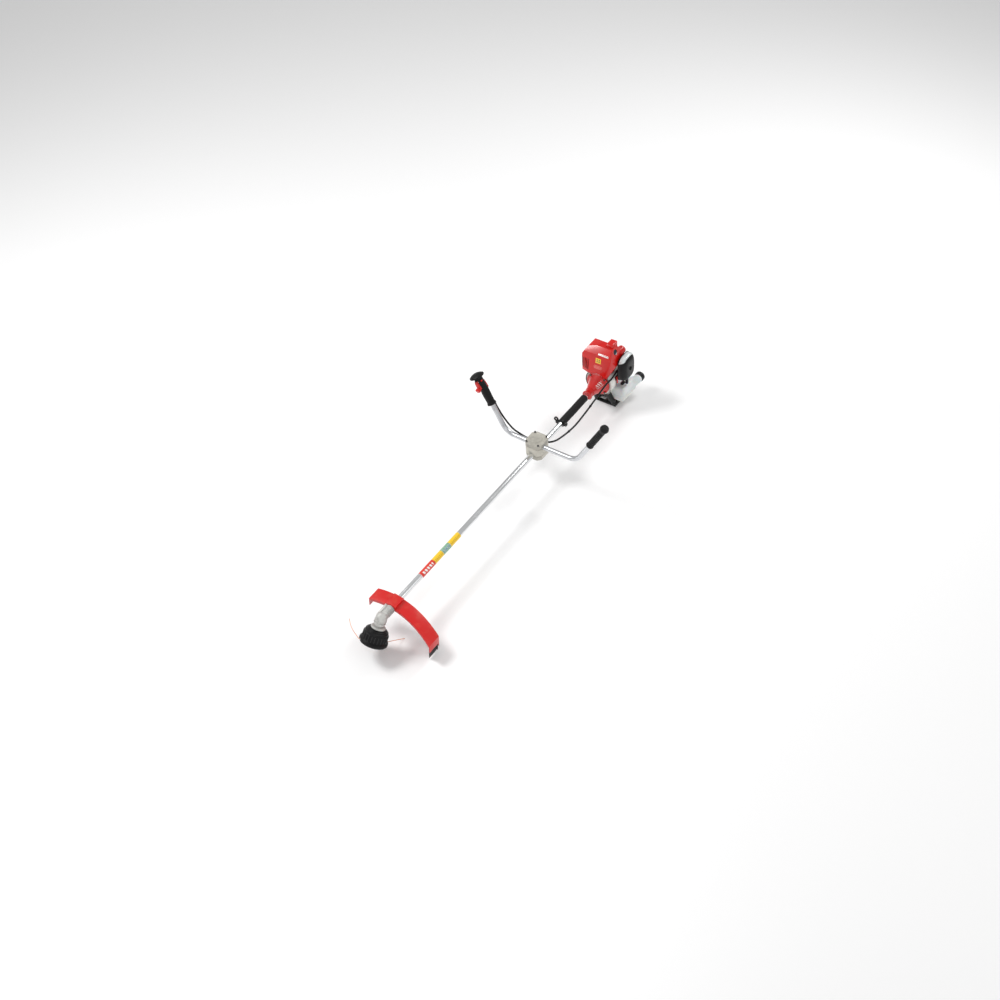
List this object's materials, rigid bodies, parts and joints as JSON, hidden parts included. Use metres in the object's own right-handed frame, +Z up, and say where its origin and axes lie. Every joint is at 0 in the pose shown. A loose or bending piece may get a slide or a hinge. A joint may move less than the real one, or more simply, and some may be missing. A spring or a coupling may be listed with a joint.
{
  "type": "string trimmer",
  "caption": "Petrol string trimmer: rear engine with tank and stand, straight tube, bullhorn handlebar with throttle grip, red guard and a bump-feed line head.",
  "frame": {"origin": "centre of the engine stand's underside, where the tool stands on the floor", "axes": "+X along the tube from the engine to the cutting head, +Z up, +Y the operator's left"},
  "size_m": [1.8998, 0.6686, 0.4613],
  "materials": {
    "tube": "polished",
    "bar_metal": "satin",
    "steel": "machined",
    "cast_grey": "as cast",
    "cast_cap": "matt",
    "red_plastic": "gloss",
    "red_metal": "gloss",
    "dark_red": "satin",
    "black_plastic": "fine texture",
    "foam": "matt foam",
    "rubber_grip": "matt",
    "line": "smooth",
    "tank": "translucent",
    "bulb": "translucent",
    "lining": "rough",
    "ceramic": "glazed",
    "boot": "satin",
    "screw": "black oxide"
  },
  "bodies": {
    "frame": {"main_tube": "tube", "shaft_bushes": "rubber_grip", "foam_sleeve": "foam", "hanger": "black_plastic", "gear_case": "cast_grey", "gear_bearings": "steel", "guard": "red_plastic", "guard_clamp": "dark_red", "guard_skirt": "black_plastic", "line_cutter": "steel", "handlebar": "bar_metal", "clamp_base": "cast_cap", "clamp_body": "cast_cap", "clamp_cap": "cast_cap", "left_grip": "rubber_grip", "grip_shell_front": "black_plastic", "grip_shell_rear": "black_plastic", "hand_stop": "black_plastic", "handle_pins": "steel", "throttle_cable": "rubber_grip", "clutch_housing": "red_metal", "fan_housing": "cast_grey", "crankcase": "cast_grey", "connecting_rod": "steel", "piston": "cast_grey", "cylinder": "cast_grey", "spark_plug": "ceramic", "plug_boot": "boot", "muffler": "steel", "carburettor": "cast_grey", "air_filter_base": "black_plastic", "air_filter_cover": "black_plastic", "starter_housing": "red_plastic", "fuel_tank": "tank", "engine_stand": "black_plastic", "engine_cover": "red_plastic", "socket_screws": "screw"},
    "drive": {"drive_shaft": "steel", "drive_pinion": "steel", "clutch_drum": "steel"},
    "head": {"output_gear": "steel", "head_adapter": "cast_grey", "head_housing": "black_plastic", "line_spool": "black_plastic", "bump_spring": "steel", "cutting_line": "line"},
    "knob": {"bump_knob": "black_plastic"},
    "crank": {"crankshaft": "steel", "flywheel": "cast_grey", "clutch_shoes": "lining"},
    "trigger": {"throttle_trigger": "red_plastic"},
    "lockout": {"lockout_lever": "red_plastic"},
    "switch": {"stop_switch": "red_plastic"},
    "throttle_arm": {"carb_lever": "steel"},
    "choke": {"choke_lever": "red_plastic"},
    "primer": {"primer_bulb": "bulb"},
    "cap": {"fuel_cap": "black_plastic"},
    "reel": {"starter_pulley": "black_plastic"},
    "pull": {"starter_handle": "black_plastic"}
  },
  "joints": [
    {"name": "head_spin", "type": "hinge", "parent": "frame", "child": "head", "pos_m": [1.637, 0, 0.16], "axis": [0.5446, -0.0877, -0.8341], "continuous": true},
    {"name": "drive_spin", "type": "hinge", "parent": "frame", "child": "drive", "pos_m": [0.114, 0, 0.16], "axis": [1, 0, 0], "continuous": true},
    {"name": "crank_spin", "type": "hinge", "parent": "frame", "child": "crank", "pos_m": [0, 0, 0.16], "axis": [1, 0, 0], "continuous": true},
    {"name": "bump_slide", "type": "slide", "parent": "head", "child": "knob", "axis": [-0.5446, 0.0877, 0.8341], "range_m": [0, 0.006], "stiffness_N_per_m": 900, "springref_m": -0.004},
    {"name": "trigger_pull", "type": "hinge", "parent": "frame", "child": "trigger", "pos_m": [0.57217, -0.276, 0.4239], "axis": [-0.0262, 0.866, 0.4993], "range_deg": [0, 9], "stiffness_Nm_per_rad": 0.5, "springref_deg": -11.46},
    {"name": "lockout_press", "type": "hinge", "parent": "frame", "child": "lockout", "pos_m": [0.5367, -0.271, 0.41338], "axis": [-0.0262, 0.866, 0.4993], "range_deg": [-8, 0], "stiffness_Nm_per_rad": 0.4, "springref_deg": 11.46},
    {"name": "switch_slide", "type": "slide", "parent": "frame", "child": "switch", "axis": [0.9986, 0, 0.0523], "range_m": [0, 0.0045]},
    {"name": "throttle_turn", "type": "hinge", "parent": "frame", "child": "throttle_arm", "pos_m": [-0.013, 0.057, 0.24], "axis": [0, 0, 1], "range_deg": [0, 36]},
    {"name": "choke_turn", "type": "hinge", "parent": "frame", "child": "choke", "pos_m": [0.012, 0.0705, 0.184], "axis": [0, 1, 0], "range_deg": [-60, 0]},
    {"name": "primer_press", "type": "slide", "parent": "frame", "child": "primer", "axis": [0, 0, 1], "range_m": [0, 0.004], "stiffness_N_per_m": 800, "springref_m": -0.002},
    {"name": "cap_turn", "type": "hinge", "parent": "frame", "child": "cap", "pos_m": [-0.136, 0.09, 0.082], "axis": [-1, 0, 0], "range_deg": [0, 330]},
    {"name": "starter_pull", "type": "slide", "parent": "frame", "child": "pull", "axis": [0, 1, 0], "range_m": [0, 0.15], "stiffness_N_per_m": 30, "springref_m": -0.02},
    {"name": "reel_turn", "type": "hinge", "parent": "frame", "child": "reel", "pos_m": [-0.055, 0, 0.16], "axis": [1, 0, 0], "range_deg": [0, 297]}
  ],
  "couplings": [
    {"joint": "drive_spin", "follows": "head_spin", "ratio": 1.3333},
    {"joint": "throttle_turn", "follows": "trigger_pull", "ratio": 4},
    {"joint": "reel_turn", "follows": "starter_pull", "rad_per_m": 33.333}
  ]
}
